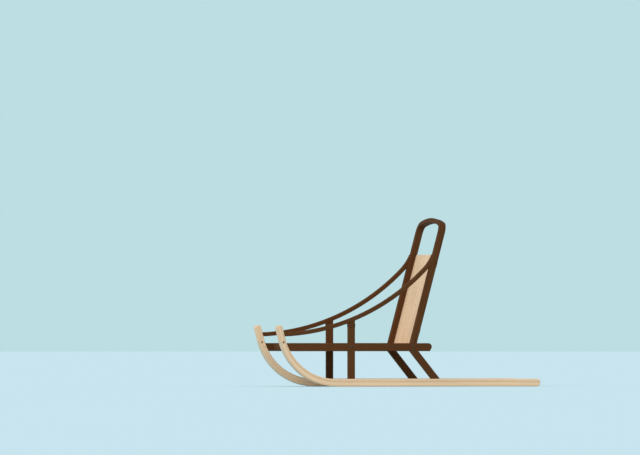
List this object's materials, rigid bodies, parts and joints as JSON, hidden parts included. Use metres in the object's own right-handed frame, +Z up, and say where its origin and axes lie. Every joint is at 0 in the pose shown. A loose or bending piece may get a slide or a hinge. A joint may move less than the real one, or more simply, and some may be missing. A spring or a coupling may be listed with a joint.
{
  "type": "wooden dog sled",
  "caption": "Wooden dog sled: upturned runners carry a railed slatted bed, a raked handle bow and a boarded back panel; it is towed by its horns.",
  "frame": {"origin": "on the ground, midway between the runners and midway between horn tips and tails", "axes": "+X towards the nose, +Y towards the sled's left side, +Z up"},
  "size_m": [1.6399, 0.535, 1.0119],
  "materials": {
    "pale_wood": "satin oil",
    "dark_wood": "satin dark stain",
    "shoe_plastic": "scuffed matte",
    "lashing": "waxed cord",
    "fastener": "dull plated"
  },
  "bodies": {
    "root": {"runner_left": "pale_wood", "runner_right": "pale_wood", "shoe_left": "shoe_plastic", "shoe_right": "shoe_plastic", "bed_rail_left": "dark_wood", "bed_rail_right": "dark_wood", "front_stanchion_left": "dark_wood", "front_stanchion_right": "dark_wood", "rear_brace_left": "dark_wood", "rear_brace_right": "dark_wood", "top_rail_left": "dark_wood", "top_rail_right": "dark_wood", "handle_bow": "dark_wood", "bunk_1": "dark_wood", "bunk_2": "dark_wood", "bunk_3": "dark_wood", "bunk_4": "dark_wood", "bunk_5": "dark_wood", "bed_slat_1": "pale_wood", "bed_slat_2": "pale_wood", "bed_slat_3": "pale_wood", "bed_slat_4": "pale_wood", "bed_slat_5": "pale_wood", "bed_slat_6": "pale_wood", "bed_slat_7": "pale_wood", "back_board_1": "pale_wood", "back_board_2": "pale_wood", "back_board_3": "pale_wood", "back_board_4": "pale_wood", "back_board_5": "pale_wood", "back_batten_lower": "dark_wood", "back_batten_upper": "dark_wood"}
  },
  "joints": []
}
